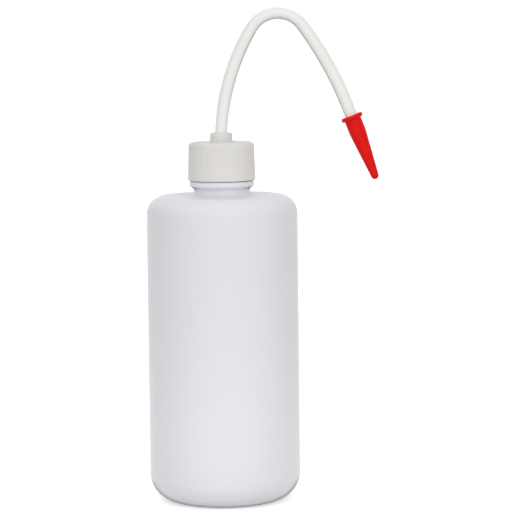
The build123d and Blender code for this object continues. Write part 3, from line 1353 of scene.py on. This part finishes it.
@dataclass
class Studio:
    """A pale floor, soft white light and the camera of the photograph.

    Attributes:
        distance: Distance of the camera from the point on the bottle's axis that it aims beside.
        aim_height: Height of that point.
        elevation: Angle of the camera above the horizon, in degrees.
        roll: How far the bottle's top leans to the left in the frame, in degrees.
        focal_pixels: Focal length in pixels of the 520 pixel frame.
        axis_pixel: Where that point of the axis shows in the frame.
        frame_pixels: Width and height of the frame.
        sensor: Width of the sensor in millimetres.
        clip: Nearest and farthest distance that the camera sees.
        even: Level of the sky all round.
        overhead: Softbox above.
        front: Softbox behind the camera.
        back: Softbox behind the object.
        below: Dark side below, which takes light away.
        paper_hole: Radius of the hole at the paper's middle, under the bottle.
        paper_radius: Radius of the paper that throws light back on the object.
        floor_radius: Radius of the whole floor.
        floor_columns: Number of columns round the floor.
        paper_tone: Tone of the paper.
        paper_glow: Level of its glow.
    """

    distance: float = 1.2
    aim_height: float = 0.120
    elevation: float = 5.43
    roll: float = 0.63
    focal_pixels: float = 2414.0
    axis_pixel: Point = (222.7, 259.9)
    frame_pixels: float = 520.0
    sensor: float = 36.0
    clip: Point = (0.05, 50.0)
    even: float = 0.36
    overhead: Lobe = Lobe(axis=(0.0, 0.0, 1.0), strength=0.40)
    front: Lobe = Lobe(axis=(0.08, -0.97, 0.22), strength=1.16)
    back: Lobe = Lobe(axis=(-0.3, 0.9, 0.3), strength=0.32)
    below: Lobe = Lobe(axis=(0.0, 0.0, -1.0), strength=-0.05)
    paper_hole: float = 0.1 * MM
    paper_radius: float = 0.09
    floor_radius: float = 6.0
    floor_columns: int = 96
    paper_tone: float = 0.80
    paper_glow: float = 0.52

    def build(self) -> None:
        """Set up the sky, the floor and the camera."""
        self._world()
        self._floor()
        self._camera()

    def _camera(self) -> None:
        """Place the camera so that the axis point falls on its pixel, with no shift of the lens."""
        lift = math.radians(self.elevation)
        back = Vector((0.0, -math.cos(lift), math.sin(lift)))
        right = Vector((1.0, 0.0, 0.0))
        up = back.cross(right)
        lean = math.radians(self.roll)
        centre = self.frame_pixels / 2.0
        off_x, off_y = self.axis_pixel[0] - centre, self.axis_pixel[1] - centre
        level_x = math.cos(lean) * off_x - math.sin(lean) * off_y
        level_y = math.sin(lean) * off_x + math.cos(lean) * off_y
        scale = self.distance / self.focal_pixels
        place = Vector((0.0, 0.0, self.aim_height)) + back * self.distance
        place += right * (-level_x * scale) + up * (level_y * scale)
        data = bpy.data.cameras.new("photo_camera")
        data.sensor_width = self.sensor
        data.lens = self.focal_pixels / self.frame_pixels * self.sensor
        data.clip_start, data.clip_end = self.clip
        camera = bpy.data.objects.new("photo_camera", data)
        side = right * math.cos(lean) - up * math.sin(lean)
        above = up * math.cos(lean) + right * math.sin(lean)
        turn = Matrix((side, above, back)).transposed().to_4x4()
        camera.matrix_world = Matrix.Translation(place) @ turn
        bpy.context.scene.collection.objects.link(camera)
        bpy.context.scene.camera = camera

    def _world(self) -> None:
        """Light everything with one soft sky, and show plain white to what sees the sky itself.

        The sky's strength in the direction d is even plus a lobe s · max(d · axis, 0)² for each
        softbox. Camera, glossy and transmission rays see the plain white.
        """
        world = bpy.data.worlds.new("soft_white")
        bpy.context.scene.world = world
        graph = ShaderGraph(world)
        way = graph.nodes.new("ShaderNodeTexCoord").outputs["Generated"]
        level: Source = 0.0
        for lobe in (self.overhead, self.front, self.back, self.below):
            along = graph.nodes.new("ShaderNodeVectorMath")
            along.operation = "DOT_PRODUCT"
            graph.feed(along.inputs[0], way)
            graph.feed(along.inputs[1], tuple(Vector(lobe.axis).normalized()))
            ahead = graph.calculate(Operation.MAXIMUM, along.outputs["Value"], 0.0)
            square = graph.calculate(Operation.POWER, ahead, 2.0)
            level = graph.calculate(Operation.MULTIPLY_ADD, square, lobe.strength, level)
        soft = graph.nodes["Background"]
        white = graph.nodes.new("ShaderNodeBackground")
        for light, strength in ((soft, graph.calculate(Operation.ADD, level, self.even)), (white, 1.0)):
            graph.feed(light.inputs["Color"], (1.0, 1.0, 1.0, 1.0))
            graph.feed(light.inputs["Strength"], strength)
        rays = graph.nodes.new("ShaderNodeLightPath").outputs
        seen = graph.calculate(Operation.MAXIMUM, rays["Is Camera Ray"], rays["Is Glossy Ray"])
        seen = graph.calculate(Operation.MAXIMUM, seen, rays["Is Transmission Ray"])
        sky = graph.nodes.new("ShaderNodeMixShader")
        for target, value in zip(sky.inputs, (seen, soft.outputs["Background"], white.outputs["Background"])):
            graph.feed(target, value)
        graph.feed(graph.nodes["World Output"].inputs["Surface"], sky.outputs["Shader"])

    def _floor(self) -> None:
        """Lay the paper near the bottle, which throws light back on it, and the floor round it."""
        material = self._paper()
        near = self._ring("paper", self.paper_hole, self.paper_radius, material)
        far = self._ring("floor", self.paper_radius, self.floor_radius, material)
        far.visible_diffuse = False
        far.visible_shadow = False

    def _ring(self, name: str, inner: float, outer: float, material: bpy.types.Material) -> bpy.types.Object:
        """Lay a flat ring at the height nought.

        Args:
            name: Name of the object.
            inner: Inner radius.
            outer: Outer radius.
            material: Its material.

        Returns:
            The object, with its faces upwards.
        """
        radii = np.array([inner, outer])
        rings = turned(np.column_stack([radii, np.zeros(2)]), even_angles(self.floor_columns))
        faces = ring_quads(len(radii), self.floor_columns, closed=False)[:, ::-1].tolist()
        mesh = bpy.data.meshes.new(name)
        mesh.from_pydata(rings.reshape(-1, 3).tolist(), [], faces)
        mesh.materials.append(material)
        ring = bpy.data.objects.new(name, mesh)
        bpy.context.scene.collection.objects.link(ring)
        return ring

    def _paper(self) -> bpy.types.Material:
        """Make white paper: a matt tone that keeps the shadow, under a glow that lifts the rest to white.

        Returns:
            The material, whose glow diffuse rays don't meet.
        """
        material = bpy.data.materials.new("pale_paper")
        graph = ShaderGraph(material)
        graph.nodes.remove(graph.nodes["Principled BSDF"])
        matt = graph.nodes.new("ShaderNodeBsdfDiffuse")
        graph.feed(matt.inputs["Color"], (self.paper_tone, self.paper_tone, self.paper_tone, 1.0))
        rays = graph.nodes.new("ShaderNodeLightPath").outputs
        shown = graph.calculate(Operation.SUBTRACT, 1.0, rays["Is Diffuse Ray"])
        glow = graph.nodes.new("ShaderNodeEmission")
        graph.feed(glow.inputs["Strength"], graph.calculate(Operation.MULTIPLY, shown, self.paper_glow))
        both = graph.nodes.new("ShaderNodeAddShader")
        graph.feed(both.inputs[0], matt.outputs["BSDF"])
        graph.feed(both.inputs[1], glow.outputs["Emission"])
        graph.feed(graph.nodes["Material Output"].inputs["Surface"], both.outputs["Shader"])
        return material


def main() -> None:
    """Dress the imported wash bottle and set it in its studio."""
    logging.basicConfig(level=logging.INFO, format="%(name)s: %(message)s")
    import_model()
    bpy.context.scene.view_settings.view_transform = "Standard"
    for sub_assembly in (Bottle(), SealingWasher(), ScrewCap(), DeliveryTube(), TipCap(), Studio()):
        sub_assembly.build()


if __name__ == "__main__":
    main()
